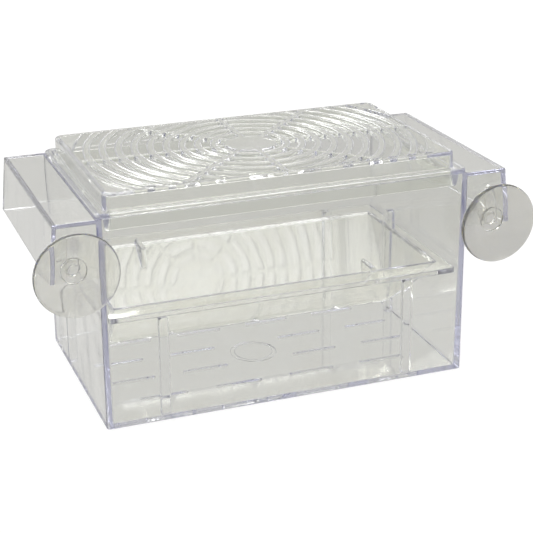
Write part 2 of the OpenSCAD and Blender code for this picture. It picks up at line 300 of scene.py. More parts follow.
def crystalStyrene(name, values):
    # Clear injection-moulded polystyrene: a bright, hard gloss, a faint warm cast and very
    # shallow waves from the mould, with a fine haze of handling marks. Seen along a wall, as at
    # the edges, the plastic is deep enough to turn a pale blue-violet.
    material, tree = newMaterial(name)
    place = addNode(tree, "ShaderNodeTexCoord").outputs["Object"]
    waves = addNode(tree, "ShaderNodeTexNoise",
                    {"Vector": place, "Scale": 1 / (values["waveSize"] * mm),
                     "Detail": values["waveDetail"]})
    grain = addNode(tree, "ShaderNodeTexNoise",
                    {"Vector": place, "Scale": 1 / (values["grainSize"] * mm),
                     "Detail": values["grainDetail"]})
    haze = addNode(tree, "ShaderNodeTexNoise",
                   {"Vector": place, "Scale": 1 / (values["hazeSize"] * mm),
                    "Detail": values["hazeDetail"], "Roughness": values["hazeContrast"]})
    tone = addNode(tree, "ShaderNodeMix",
                   {0: haze.outputs["Fac"], 6: linear(values["paleTone"]),
                    7: linear(values["warmTone"])}, data_type="RGBA")
    gloss = addNode(tree, "ShaderNodeMapRange",
                    {"Value": haze.outputs["Fac"],
                     "From Min": values["hazeLow"], "From Max": values["hazeHigh"],
                     "To Min": values["roughLow"], "To Max": values["roughHigh"]})
    broad = addNode(tree, "ShaderNodeBump",
                    {"Strength": 1.0, "Distance": values["waveDepth"] * mm,
                     "Height": waves.outputs["Fac"]})
    fine = addNode(tree, "ShaderNodeBump",
                   {"Strength": 1.0, "Distance": values["grainDepth"] * mm,
                    "Height": grain.outputs["Fac"], "Normal": broad.outputs["Normal"]})
    surface = addNode(tree, "ShaderNodeBsdfPrincipled",
                      {"Base Color": tone.outputs[2], "Roughness": gloss.outputs["Result"],
                       "Normal": fine.outputs["Normal"], "IOR": values["bending"],
                       "Transmission Weight": 1.0})
    inside = addNode(tree, "ShaderNodeVolumeAbsorption",
                     {"Color": linear(values["depthTone"]), "Density": values["depthDensity"]})
    addNode(tree, "ShaderNodeOutputMaterial",
            {"Surface": surface.outputs["BSDF"], "Volume": inside.outputs["Volume"]})
    return material


def softVinyl(name, values):
    # Plasticised PVC, moulded soft and clear: milky, slightly yellow and a little greasy, so
    # its highlights are a little soft and it glows where light comes through.
    material, tree = newMaterial(name)
    place = addNode(tree, "ShaderNodeTexCoord").outputs["Object"]
    cloud = addNode(tree, "ShaderNodeTexNoise",
                    {"Vector": place, "Scale": 1 / (values["cloudSize"] * mm),
                     "Detail": values["detail"]})
    skin = addNode(tree, "ShaderNodeTexNoise",
                   {"Vector": place, "Scale": 1 / (values["skinSize"] * mm),
                    "Detail": values["detail"]})
    tone = addNode(tree, "ShaderNodeMix",
                   {0: cloud.outputs["Fac"], 6: linear(values["paleTone"]),
                    7: linear(values["oliveTone"])}, data_type="RGBA")
    gloss = addNode(tree, "ShaderNodeMapRange",
                    {"Value": cloud.outputs["Fac"],
                     "From Min": values["cloudLow"], "From Max": values["cloudHigh"],
                     "To Min": values["roughLow"], "To Max": values["roughHigh"]})
    bump = addNode(tree, "ShaderNodeBump",
                   {"Strength": 1.0, "Distance": values["skinDepth"] * mm,
                    "Height": skin.outputs["Fac"]})
    surface = addNode(tree, "ShaderNodeBsdfPrincipled",
                      {"Base Color": tone.outputs[2], "Roughness": gloss.outputs["Result"],
                       "Normal": bump.outputs["Normal"], "IOR": values["bending"],
                       "Transmission Weight": values["clearShare"],
                       "Subsurface Weight": values["milkShare"],
                       "Subsurface Scale": values["milkDepth"] * mm,
                       "Subsurface Radius": values["milkReach"]})
    addNode(tree, "ShaderNodeOutputMaterial", {"Surface": surface.outputs["BSDF"]})
    return material


# bending is the index of refraction, and the density of the depth's tone is for one metre
styrene = {
    "bending": 1.59, "depthTone": "#AEB0DC", "depthDensity": 7.0,
    "waveDetail": 1.5, "grainDetail": 3.0, "hazeDetail": 4.0, "hazeContrast": 0.6,
    "hazeLow": 0.35, "hazeHigh": 0.7,
}
tankFinish = crystalStyrene("clear moulded polystyrene, tank", {
    **styrene, "paleTone": "#FDFEFD", "warmTone": "#FAFAF6",
    "waveSize": 26.0, "waveDepth": 0.12, "grainSize": 1.4, "grainDepth": 0.002,
    "hazeSize": 18.0, "roughLow": 0.012, "roughHigh": 0.05,
})
lidFinish = crystalStyrene("clear moulded polystyrene, lid", {
    **styrene, "paleTone": "#FDFEFC", "warmTone": "#F8F9F2",
    "waveSize": 20.0, "waveDepth": 0.10, "grainSize": 1.2, "grainDepth": 0.003,
    "hazeSize": 14.0, "roughLow": 0.03, "roughHigh": 0.09,
})
trapFinish = crystalStyrene("clear moulded polystyrene, trap", {
    **styrene, "paleTone": "#FDFEFC", "warmTone": "#FBFAF2",
    "waveSize": 22.0, "waveDepth": 0.12, "grainSize": 1.3, "grainDepth": 0.003,
    "hazeSize": 16.0, "roughLow": 0.02, "roughHigh": 0.07,
})
cupFinish = softVinyl("soft clear vinyl, suction cups", {
    "paleTone": "#FCFCFA", "oliveTone": "#F7F6F0",
    "bending": 1.52, "cloudSize": 16.0, "skinSize": 0.9, "skinDepth": 0.004, "detail": 3.0,
    "cloudLow": 0.3, "cloudHigh": 0.7, "roughLow": 0.010, "roughHigh": 0.025,
    "clearShare": 0.92, "milkShare": 1.0, "milkDepth": 6.0, "milkReach": (1.0, 0.95, 0.8),
})
print("materials made")


# What repeats, made by node trees

def runTree(name, tree, values, material=None):
    # gives an empty piece the tree, sets its named inputs and keeps the plain mesh
    piece = newPiece(name, [], [])
    step = piece.modifiers.new(tree.name, "NODES")
    step.node_group = tree
    sockets = {s.name: s.identifier for s in tree.interface.items_tree if s.item_type == "SOCKET"}
    for key, value in values.items():
        step[sockets[key]] = value
    if material:
        step[sockets["Finish"]] = material
    return settle(piece)


def newTree(name, sizes):
    tree = bpy.data.node_groups.new(name, "GeometryNodeTree")
    tree.interface.new_socket("Geometry", in_out="INPUT", socket_type="NodeSocketGeometry")
    for key, kind in sizes.items():
        tree.interface.new_socket(key, in_out="INPUT", socket_type=kind)
    tree.interface.new_socket("Finish", in_out="INPUT", socket_type="NodeSocketMaterial")
    tree.interface.new_socket("Geometry", in_out="OUTPUT", socket_type="NodeSocketGeometry")
    return tree, addNode(tree, "NodeGroupInput").outputs


def barTree():
    # ring bars and spokes of the grille: a crowned bar section run along circles and rays
    number, whole = "NodeSocketFloat", "NodeSocketInt"
    circleSteps, filletSteps, lowCorner = 144, 4, 0.25 * mm
    tree, given = newTree("grille bars", {
        "Rings": whole, "First Radius": number, "Pitch": number, "Ring Width": number,
        "Spokes": whole, "Spoke Start": number, "Spoke End": number, "Spoke Width": number,
        "Bar Height": number, "Crown": number, "Base Height": number, "Make Spokes": "NodeSocketBool",
    })
    at = addNode(tree, "GeometryNodeInputIndex").outputs["Index"]
    ringRadius = addNode(tree, "ShaderNodeMath", {0: at, 1: given["Pitch"], 2: given["First Radius"]},
                         operation="MULTIPLY_ADD").outputs[0]
    ringScale = addNode(tree, "ShaderNodeCombineXYZ", {0: ringRadius, 1: ringRadius, 2: 1.0})
    ringSpots = addNode(tree, "GeometryNodeMeshLine", {"Count": given["Rings"], "Offset": (0, 0, 0)})
    circle = addNode(tree, "GeometryNodeCurvePrimitiveCircle",
                     {"Resolution": circleSteps, "Radius": 1.0})
    ringSet = addNode(tree, "GeometryNodeInstanceOnPoints",
                      {"Points": ringSpots.outputs["Mesh"], "Instance": circle.outputs["Curve"],
                       "Scale": ringScale.outputs["Vector"]})
    spokeTurn = addNode(tree, "ShaderNodeMath", {0: 2 * math.pi, 1: given["Spokes"]},
                        operation="DIVIDE")
    angle = addNode(tree, "ShaderNodeMath", {0: at, 1: spokeTurn.outputs[0]}, operation="MULTIPLY")
    turn = addNode(tree, "ShaderNodeCombineXYZ", {2: angle.outputs[0]})
    rayStart = addNode(tree, "ShaderNodeCombineXYZ", {0: given["Spoke Start"]})
    rayEnd = addNode(tree, "ShaderNodeCombineXYZ", {0: given["Spoke End"]})
    ray = addNode(tree, "GeometryNodeCurvePrimitiveLine",
                  {"Start": rayStart.outputs["Vector"], "End": rayEnd.outputs["Vector"]})
    raySpots = addNode(tree, "GeometryNodeMeshLine", {"Count": given["Spokes"], "Offset": (0, 0, 0)})
    raySet = addNode(tree, "GeometryNodeInstanceOnPoints",
                     {"Points": raySpots.outputs["Mesh"], "Instance": ray.outputs["Curve"],
                      "Rotation": turn.outputs["Vector"]})
    chosen = addNode(tree, "GeometryNodeSwitch",
                     {"Switch": given["Make Spokes"], "False": ringSet.outputs["Instances"],
                      "True": raySet.outputs["Instances"]}, input_type="GEOMETRY")
    lines = addNode(tree, "GeometryNodeRealizeInstances", {"Geometry": chosen.outputs[0]})
    even = addNode(tree, "GeometryNodeSetCurveRadius",
                   {"Curve": lines.outputs["Geometry"], "Radius": 1.0})
    upright = addNode(tree, "GeometryNodeSetCurveNormal", {"Curve": even.outputs["Curve"]},
                      mode="Z_UP")
    width = addNode(tree, "GeometryNodeSwitch",
                    {"Switch": given["Make Spokes"], "False": given["Ring Width"],
                     "True": given["Spoke Width"]}, input_type="FLOAT")
    section = addNode(tree, "GeometryNodeCurvePrimitiveQuadrilateral",
                      {"Width": width.outputs[0], "Height": given["Bar Height"]})
    spot = addNode(tree, "GeometryNodeInputPosition")
    height = addNode(tree, "ShaderNodeSeparateXYZ", {0: spot.outputs["Position"]})
    isTop = addNode(tree, "ShaderNodeMath", {0: height.outputs["Y"], 1: 0.0},
                    operation="GREATER_THAN")
    corner = addNode(tree, "ShaderNodeMapRange",
                     {"Value": isTop.outputs[0], "To Min": lowCorner, "To Max": given["Crown"]})
    rounded = addNode(tree, "GeometryNodeFilletCurve",
                      {"Curve": section.outputs["Curve"], "Count": filletSteps,
                       "Radius": corner.outputs["Result"], "Limit Radius": True}, mode="POLY")
    bars = addNode(tree, "GeometryNodeCurveToMesh",
                   {"Curve": upright.outputs["Curve"], "Profile Curve": rounded.outputs["Curve"],
                    "Fill Caps": True})
    half = addNode(tree, "ShaderNodeMath", {0: given["Bar Height"], 1: 0.5, 2: given["Base Height"]},
                   operation="MULTIPLY_ADD")
    lift = addNode(tree, "ShaderNodeCombineXYZ", {2: half.outputs[0]})
    placed = addNode(tree, "GeometryNodeSetPosition",
                     {"Geometry": bars.outputs["Mesh"], "Offset": lift.outputs["Vector"]})
    dressed = addNode(tree, "GeometryNodeSetMaterial",
                      {"Geometry": placed.outputs["Geometry"], "Material": given["Finish"]})
    addNode(tree, "NodeGroupOutput", {0: dressed.outputs["Geometry"]})
    return tree


def slotTree():
    # drain-slot cutters: one round-ended block at each place of the staggered rows
    number = "NodeSocketFloat"
    slotCount, filletSteps = 16, 6
    # just under half the width, so that the two fillets at an end don't meet in one point
    endShare = 0.499
    tree, given = newTree("drain slots", {
        "Slot Length": number, "Slot Width": number, "Slot Depth": number, "Pitch": number,
        "Row Pitch": number, "Row Shift": number,
    })
    # the four binary digits of a slot's index say whether it is right of the middle, second
    # from the middle in its row, behind the middle, and in an outer row
    at = addNode(tree, "GeometryNodeInputIndex").outputs["Index"]
    digits = []
    for place in range(4):
        share = addNode(tree, "ShaderNodeMath", {0: at, 1: 0.5 ** place}, operation="MULTIPLY")
        count = addNode(tree, "ShaderNodeMath", {0: share.outputs[0]}, operation="FLOOR")
        digit = addNode(tree, "ShaderNodeMath", {0: count.outputs[0], 1: 2.0}, operation="MODULO")
        digits.append(digit.outputs[0])
    isRight, isSecond, isBack, isOuter = digits
    signX, signY = (
        addNode(tree, "ShaderNodeMath", {0: digit, 1: 2.0, 2: -1.0},
                operation="MULTIPLY_ADD").outputs[0] for digit in (isRight, isBack))
    stepHalf, outerHalf = (
        addNode(tree, "ShaderNodeMath", {0: digit, 1: 0.5}, operation="ADD").outputs[0]
        for digit in (isSecond, isOuter))
    isInner = addNode(tree, "ShaderNodeMath", {0: 1.0, 1: isOuter}, operation="SUBTRACT").outputs[0]
    runX = addNode(tree, "ShaderNodeMath", {0: stepHalf, 1: given["Pitch"]},
                   operation="MULTIPLY").outputs[0]
    farX = addNode(tree, "ShaderNodeMath", {0: isInner, 1: given["Row Shift"], 2: runX},
                   operation="MULTIPLY_ADD").outputs[0]
    farY = addNode(tree, "ShaderNodeMath", {0: outerHalf, 1: given["Row Pitch"]},
                   operation="MULTIPLY").outputs[0]
    x, y = (addNode(tree, "ShaderNodeMath", {0: far, 1: sign}, operation="MULTIPLY").outputs[0]
            for far, sign in ((farX, signX), (farY, signY)))
    where = addNode(tree, "ShaderNodeCombineXYZ", {0: x, 1: y})
    spots = addNode(tree, "GeometryNodeMeshLine", {"Count": slotCount, "Offset": (0, 0, 0)})
    spread = addNode(tree, "GeometryNodeSetPosition",
                     {"Geometry": spots.outputs["Mesh"], "Position": where.outputs["Vector"]})
    endRadius = addNode(tree, "ShaderNodeMath", {0: given["Slot Width"], 1: endShare},
                        operation="MULTIPLY")
    outline = addNode(tree, "GeometryNodeCurvePrimitiveQuadrilateral",
                      {"Width": given["Slot Length"], "Height": given["Slot Width"]})
    obround = addNode(tree, "GeometryNodeFilletCurve",
                      {"Curve": outline.outputs["Curve"], "Count": filletSteps,
                       "Radius": endRadius.outputs[0], "Limit Radius": True}, mode="POLY")
    upLine = addNode(tree, "ShaderNodeCombineXYZ", {2: given["Slot Depth"]})
    below, above = (
        addNode(tree, "ShaderNodeVectorMath", {0: upLine.outputs["Vector"], 1: (part,) * 3},
                operation="MULTIPLY") for part in (-0.5, 0.5))
    upright = addNode(tree, "GeometryNodeCurvePrimitiveLine",
                      {"Start": below.outputs["Vector"], "End": above.outputs["Vector"]})
    block = addNode(tree, "GeometryNodeCurveToMesh",
                    {"Curve": upright.outputs["Curve"], "Profile Curve": obround.outputs["Curve"],
                     "Fill Caps": True})
    placed = addNode(tree, "GeometryNodeInstanceOnPoints",
                     {"Points": spread.outputs["Geometry"], "Instance": block.outputs["Mesh"]})
    blocks = addNode(tree, "GeometryNodeRealizeInstances", {"Geometry": placed.outputs["Instances"]})
    dressed = addNode(tree, "GeometryNodeSetMaterial",
                      {"Geometry": blocks.outputs["Geometry"], "Material": given["Finish"]})
    addNode(tree, "NodeGroupOutput", {0: dressed.outputs["Geometry"]})
    return tree


# Tank: one moulding with walls, slotted floor, floats, ribs and guides

tankSize = {
    "halfX": 88.5, "halfY": 53.0, "height": 100.0, "corner": 1.5,
    "rimWall": 2.2, "draft": 0.8, "floor": 1.8, "floorFillet": 0.45, "insideCorner": 0.7,
    "footEdge": 0.6, "rimEdge": 0.35, "ribSink": 0.6, "ribStop": 0.8,
}
floatSize = {
    "top": 108.0, "low": 110.5, "zLow": 73.5, "wall": 1.9, "edge": 0.5, "insideEdge": 0.7,
    "root": 2.1, "slotX": 100.3, "slotTop": 1.9, "slotMouth": 3.7, "slotTopZ": 90.6,
}
ribSize = {"x": 60.0, "half": 2.2, "face": 46.6, "top": 49.8, "round": 1.5, "edge": 0.35}
guideSize = {"y": 22.0, "half": 2.25, "face": 82.2, "top": 58.0, "round": 1.5, "edge": 0.35}
drainSize = {
    "Slot Length": 23 * mm, "Slot Width": 2.2 * mm, "Slot Depth": 8 * mm,
    "Pitch": 37 * mm, "Row Pitch": 20.7 * mm, "Row Shift": 10 * mm,
}
recessSize = {"outer": 11.5, "inner": 9.4, "groove": 0.8, "flat": 0.4, "edge": 0.25}


def cavityAt(z):
    # the half widths of the tank's inside at height z: the walls thicken towards the floor
    s = tankSize
    wall = s["rimWall"] + s["draft"] * (1 - z / s["height"])
    return s["halfX"] - wall, s["halfY"] - wall


def ribOutline(centre, low, size, steps=4):
    # a rib from low up to its top, round at both upper corners
    half, high, corner = size["half"], size["top"], size["round"]
    points = [(centre - half, low), (centre + half, low)]
    for side, start in ((1, 0), (-1, 90)):
        points += arc(centre + side * (half - corner), high - corner, corner, start, 90, steps)
    return points


def makeTank():
    s, f = tankSize, floatSize
    body = slab("tank_moulding", s["halfX"], s["halfY"], s["corner"], 0, s["height"],
                s["footEdge"], s["rimEdge"])
    rows = []
    for inward, along in quarterRound(3):
        x, y = cavityAt(s["floor"] + s["floorFillet"] * along)
        inset = s["floorFillet"] * inward
        rows.append((x - inset, y - inset, s["insideCorner"], s["floor"] + s["floorFillet"] * along))
    for inward, along in quarterRound(3):
        z = s["height"] - s["rimEdge"] * inward
        x, y = cavityAt(z)
        grow = s["rimEdge"] * along
        rows.append((x + grow, y + grow, s["insideCorner"] + grow, z))
    rows.append((*rows[-1][:3], s["height"] + past))
    cavity = loftRings("cavity", [roundedRing(*row) for row in rows])
    combine(body, "DIFFERENCE", cavity)

    r, g = ribSize, guideSize
    ribs = []
    for sx in (-1, 1):
        outline = ribOutline(sx * r["x"], s["floor"] - s["ribSink"], r)
        stop = s["halfY"] - s["ribStop"]
        for low, high in ((r["face"], stop), (-stop, -r["face"])):
            ribs.append(prism("rib", outline, "y", low, high, r["edge"]))
        outline = ribOutline(g["y"], s["floor"] - s["ribSink"], g)
        low, high = sorted((sx * g["face"], sx * (s["halfX"] - s["ribStop"])))
        ribs.append(prism("guide", outline, "x", low, high, g["edge"]))
    combine(body, "UNION", *ribs)

    c = recessSize
    recess = lathe("recess", roundCorners(
        [(0, -justPast), (c["outer"], -justPast), (c["outer"], c["groove"]),
         (c["inner"], c["groove"]), (c["inner"], c["flat"]), (0, c["flat"])],
        [0, c["edge"], c["edge"], c["edge"]], steps=2), steps=72)
    slots = runTree("slots", slotTree(), drainSize)
    combine(body, "DIFFERENCE", slots, recess)
    print("tank walls, ribs and floor made:", len(body.data.polygons), "faces")

    lean = (f["low"] - f["top"]) / (s["height"] - f["zLow"])
    side = f["wall"] * math.hypot(1, lean)

    def isFree(edge):
        # the float's other edges lie inside the tank's wall, and stay as they are
        return max(abs(corner.co.x) for corner in edge.verts) > s["halfX"] * mm

    for sx in (-1, 1):
        inner = sx * (s["halfX"] - f["root"])
        shell = prism("float", [(inner, f["zLow"]), (sx * f["low"], f["zLow"]),
                                (sx * f["top"], s["height"]), (inner, s["height"])],
                      "y", -s["halfY"], s["halfY"])
        roundEdges(shell, f["edge"], isFree, segments=3)
        zIn, zOut = s["height"] - f["wall"], f["zLow"] - wellPast
        wallX = [sx * (f["top"] - side + lean * (s["height"] - z)) for z in (zOut, zIn)]
        hollow = prism("hollow", [(sx * s["halfX"], zOut), (wallX[0], zOut),
                                  (wallX[1], zIn), (sx * s["halfX"], zIn)],
                       "y", -s["halfY"] + f["wall"], s["halfY"] - f["wall"], f["insideEdge"])
        taper = (f["slotMouth"] - f["slotTop"]) / (f["slotTopZ"] - f["zLow"])
        mouth = f["slotMouth"] + taper * wellPast
        outline = [(sx * f["slotX"] - mouth, zOut), (sx * f["slotX"] + mouth, zOut)]
        outline += arc(sx * f["slotX"], f["slotTopZ"], f["slotTop"], 0, 180, steps=12)
        slot = prism("slot", outline, "y", -s["halfY"] - past, -s["halfY"] + f["wall"] + past)
        combine(shell, "DIFFERENCE", hollow, slot)
        combine(body, "UNION", shell)
    return finishSurface(body, tankFinish)


tank = makeTank()
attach(tank, "tank_body")
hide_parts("tank")
print("tank made:", len(tank.data.polygons), "faces")


# Lid: flange, skirt and raised panel with the ring grille

lidSize = {
    "flangeX": 88.5, "flangeY": 53.0, "flangeLow": 100.08, "flangeTop": 102.0,
    "flangeCorner": 4.5, "flangeEdge": 0.8, "flangeLowEdge": 0.35,
    "skirtX": 85.5, "skirtY": 50.0, "skirtLow": 93.3, "skirtCorner": 1.5, "skirtLead": 1.0,
    "skirtFlare": 1.4, "skirtEdge": 0.3, "footFillet": 0.8, "overlap": 0.8,
    "panelX": 84.1, "panelY": 48.6, "panelTop": 109.6, "panelEdge": 1.2, "panelCorner": 4.5,
    "hollowX": 81.8, "hollowY": 46.3, "hollowTop": 107.6, "hollowCorner": 1.5, "hollowEdge": 0.25,
    "windowX": 81.2, "windowY": 45.7, "windowR": 86.0, "clipX": 81.5, "clipY": 46.0,
    "hub": 12.8, "hubLowEdge": 0.25, "hubEdge": 0.9, "grilleTop": 110.0,
}
barSize = {
    "Rings": 10, "First Radius": 17.4 * mm, "Pitch": 7.5 * mm, "Ring Width": 3.6 * mm,
    "Spokes": 8, "Spoke Start": 11.5 * mm, "Spoke End": 84.5 * mm, "Spoke Width": 3.0 * mm,
    "Bar Height": 2.4 * mm, "Crown": 1.0 * mm, "Base Height": 107.6 * mm,
}


def block(name, halfX, halfY, zLow, zHigh):
    outline = [(-halfX, -halfY), (halfX, -halfY), (halfX, halfY), (-halfX, halfY)]
    return prism(name, outline, "z", zLow, zHigh)


def makeLid():
    s = lidSize
    body = slab("lid_moulding", s["flangeX"], s["flangeY"], s["flangeCorner"], s["flangeLow"],
                s["flangeTop"], s["flangeLowEdge"], s["flangeEdge"])
    rows = edgeRows(s["skirtX"] - s["skirtLead"], s["skirtY"] - s["skirtLead"], s["skirtCorner"],
                    s["skirtLow"], s["skirtEdge"], True)
    for z in (s["flangeLow"], s["flangeLow"] + s["overlap"]):
        rows.append((s["skirtX"], s["skirtY"], s["skirtCorner"], z))
    skirt = loftRings("skirt", [roundedRing(*row) for row in rows])
    foot = s["footFillet"]
    rows = [(s["panelX"] + foot, s["panelY"] + foot, s["panelCorner"] + foot,
             s["flangeTop"] - s["overlap"])]
    for inward, along in quarterRound(4):
        grow = foot * inward
        rows.append((s["panelX"] + grow, s["panelY"] + grow, s["panelCorner"] + grow,
                     s["flangeTop"] + foot * along))
    rows += edgeRows(s["panelX"], s["panelY"], s["panelCorner"], s["panelTop"], s["panelEdge"],
                     False, steps=5)
    panel = loftRings("panel", [roundedRing(*row) for row in rows])
    combine(body, "UNION", skirt, panel)
    grow = s["skirtFlare"] + s["skirtEdge"]
    rows = [(s["hollowX"] + grow, s["hollowY"] + grow, s["hollowCorner"], s["skirtLow"] - past)]
    for inward, along in quarterRound(3):
        grow = s["skirtFlare"] + s["skirtEdge"] * inward
        rows.append((s["hollowX"] + grow, s["hollowY"] + grow, s["hollowCorner"],
                     s["skirtLow"] + s["skirtEdge"] * along))
    rows.append((s["hollowX"], s["hollowY"], s["hollowCorner"], s["flangeLow"]))
    rows += edgeRows(s["hollowX"], s["hollowY"], s["hollowCorner"], s["hollowTop"],
                     s["hollowEdge"], False)
    hollow = loftRings("hollow", [roundedRing(*row) for row in rows])
    window = block("window", s["windowX"], s["windowY"], s["hollowTop"] - past, s["panelTop"] + past)
    low, high = s["hollowTop"] - wellPast, s["panelTop"] + wellPast
    disc = lathe("disc", [(0, low), (s["windowR"], low), (s["windowR"], high), (0, high)],
                 steps=144)
    combine(window, "INTERSECT", disc)
    combine(body, "DIFFERENCE", hollow, window)
    tree = barTree()
    rings = runTree("rings", tree, {**barSize, "Make Spokes": False}, lidFinish)
    spokes = runTree("spokes", tree, {**barSize, "Make Spokes": True}, lidFinish)
    for part in (rings, spokes):
        clip = block("clip", s["clipX"], s["clipY"], s["hollowTop"] - past, s["grilleTop"] + past)
        combine(part, "INTERSECT", clip)
    hub = lathe("hub", roundCorners([(0, s["hollowTop"]), (s["hub"], s["hollowTop"]),
                                     (s["hub"], s["grilleTop"]), (0, s["grilleTop"])],
                                    [s["hubLowEdge"], s["hubEdge"]], steps=3))
    for part in (rings, spokes, hub):
        combine(body, "UNION", part)
    return finishSurface(body, lidFinish)


lid = makeLid()
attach(lid, "lid_body")
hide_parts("lid")
print("lid made:", len(lid.data.polygons), "faces")


# Breeding trap: rim, V of two sloping walls, slit, bridges and fins

trapSize = {
    "rimX": 85.0, "rimY": 49.5, "rimCorner": 2.0, "rimLow": 49.88, "rimTop": 52.4, "rimEdge": 0.4,
    "mouthX": 79.6, "mouthY": 38.5, "wall": 2.0, "tip": 16.8, "slope": 0.8563, "rise": 2.633,
    "slitZ": 18.08, "floorZ": 19.43, "slitHalf": 68.6, "slitWidth": 3.0,
    "tilt": 0.1826, "endRound": 8.0, "outerCorner": 2.2, "innerCorner": 1.0,
    "bridgeX": 43.0, "bridgeHalf": 3.5, "bridgeRise": 3.4,
    "finX": 47.0, "finHalf": 1.3, "finFace": 27.0, "finLow": 41.8, "finTop": 54.2,
    "notchX": 81.7, "notchY": 22.0, "notchHalf": 2.75,
    "sink": 0.6, "innerPast": 1.5, "cornerShare": 0.6, "tipHalf": 0.4, "tipDrop": 0.15,
    "finEdge": 0.3,
}


def endAt(z, inset, zLow):
    # half length of the trap's outline at height z, with its round lower corners
    s = trapSize
    r = s["endRound"] - inset
    root = math.hypot(1, s["tilt"])
    centreX = s["mouthX"] + s["wall"] - inset - s["tilt"] * (s["rimTop"] - zLow - r) - r * root
    centreZ = zLow + r
    if z < centreZ - r * s["tilt"] / root:
        return centreX + math.sqrt(max(r * r - (z - centreZ) ** 2, 0))
    return s["mouthX"] + s["wall"] - inset - s["tilt"] * (s["rimTop"] - z)


def trapLevels(zLow, zHigh, roundSteps=10, straightSteps=3):
    # heights of the outline's rings: close together up the round corners, then even
    levels = [zLow + trapSize["endRound"] * along for inward, along in quarterRound(roundSteps)]
    rest = zHigh - levels[-1]
    return levels + [levels[-1] + rest * i / straightSteps for i in range(1, straightSteps + 1)]


def veePrism(name, inset, zLow, zHigh, corner):
    # the trap's V as a solid, to its outer faces or, with an inset, to its inner ones
    s = trapSize
    tip = s["tip"] + (s["rise"] if inset else 0)
    rings = []
    for z in trapLevels(zLow, zHigh):
        halfY = (z - tip) / s["slope"]
        if inset:
            halfY = max(halfY, least)
        rings.append(roundedRing(endAt(z, inset, zLow), halfY,
                                 min(corner, halfY * s["cornerShare"]), z, steps=4))
    return loftRings(name, rings)


def makeTrap():
    s = trapSize
    body = slab("trap_moulding", s["rimX"], s["rimY"], s["rimCorner"], s["rimLow"], s["rimTop"],
                s["rimEdge"], s["rimEdge"])
    combine(body, "UNION", veePrism("outer", 0, s["slitZ"], s["rimTop"] - s["sink"],
                                   s["outerCorner"]))
    inner = veePrism("inner", s["wall"], s["floorZ"], s["rimTop"] + s["innerPast"],
                     s["innerCorner"])
    slit = block("slit", s["slitHalf"], s["slitWidth"] / 2, s["slitZ"] - past, s["floorZ"] + past)
    combine(body, "DIFFERENCE", inner)
    combine(body, "DIFFERENCE", slit)
    extras = []
    top = s["slitZ"] + s["bridgeRise"]
    reach = (top - s["tip"]) / s["slope"]
    for x in (-s["bridgeX"], 0, s["bridgeX"]):
        outline = [(x - s["bridgeHalf"], s["slitZ"]), (x + s["bridgeHalf"], s["slitZ"]),
                   (x + s["tipHalf"], top - s["tipDrop"]), (x, top),
                   (x - s["tipHalf"], top - s["tipDrop"])]
        bridge = prism("bridge", outline, "y", -reach, reach)
        clip = veePrism("clip", 0, s["slitZ"], s["rimTop"], s["outerCorner"])
        extras.append(combine(bridge, "INTERSECT", clip))
    for turn in (1, -1):
        h = s["finHalf"]
        outline = []
        for start, z in ((180, s["finLow"] + h), (0, s["finTop"] - h)):
            outline += arc(-turn * s["finX"], z, h, start, 180, steps=8)
        low, high = sorted((turn * s["finFace"], turn * (s["mouthY"] + s["sink"])))
        fin = prism("fin", outline, "y", low, high, s["finEdge"])
        clip = veePrism("clip", 0, s["slitZ"], s["finTop"] + justPast, s["outerCorner"])
        extras.append(combine(fin, "INTERSECT", clip))
    combine(body, "UNION", *extras)
    notches = []
    for sx in (-1, 1):
        low, high = sorted((sx * s["notchX"], sx * (s["rimX"] + past)))
        outline = [(low, s["notchY"] - s["notchHalf"]), (high, s["notchY"] - s["notchHalf"]),
                   (high, s["notchY"] + s["notchHalf"]), (low, s["notchY"] + s["notchHalf"])]
        notches.append(prism("notch", outline, "z", s["rimLow"] - justPast,
                             s["rimTop"] + justPast))
    combine(body, "DIFFERENCE", *notches)
    return finishSurface(body, trapFinish)


trap = makeTrap()
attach(trap, "trap_body")
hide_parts("breeding_trap")
print("trap made:", len(trap.data.polygons), "faces")


# Suction cups

cupSize = {
    "x": 100.3, "y": -53.0, "leftZ": 79.5, "rightZ": 76.5,
    "knobEnd": -6.2, "knobFace": -2.2, "knobR": 3.9, "neckR": 2.5,
    "bossBack": 0.3, "bossR": 6.0, "bossFront": 2.3, "stemEdges": (1.5, 0.5, 0.4, 0.5, 0.4),
    "rimR": 19.0, "rimBack": 8.3, "rimFront": 9.0, "rimEdge": 0.35,
    "land": 18.2, "hollow": 4.7, "power": 1.5, "steps": 16,
}


def makeCup(name, side, height):
    # turned about its stem: knob, neck and boss, then the cup's back, rim and hollow front
    s = cupSize
    stem = roundCorners(
        [(0, s["knobEnd"]), (s["knobR"], s["knobEnd"]), (s["knobR"], s["knobFace"]),
         (s["neckR"], s["knobFace"]), (s["neckR"], s["bossBack"]), (s["bossR"], s["bossBack"]),
         (s["bossR"], s["bossFront"])],
        s["stemEdges"])
    back, front = [], []
    for i in range(1, s["steps"] + 1):
        share = i / s["steps"]
        back.append((s["bossR"] + (s["rimR"] - s["bossR"]) * share,
                     s["bossFront"] + (s["rimBack"] - s["bossFront"]) * share ** s["power"]))
    for i in range(s["steps"] + 1):
        share = 1 - i / s["steps"]
        front.append((s["land"] * share, s["rimFront"] - s["hollow"] + s["hollow"] * share * share))
    rim = roundCorners([back[-1], (s["rimR"], s["rimFront"]), front[0]], [s["rimEdge"]], steps=3)
    profile = stem + back[:-1] + rim + front[1:]
    place = Matrix.Translation((side * s["x"], s["y"], height))
    turn = place @ Matrix.Rotation(math.radians(90), 4, "X")
    return finishSurface(lathe(name, profile, turn), cupFinish)


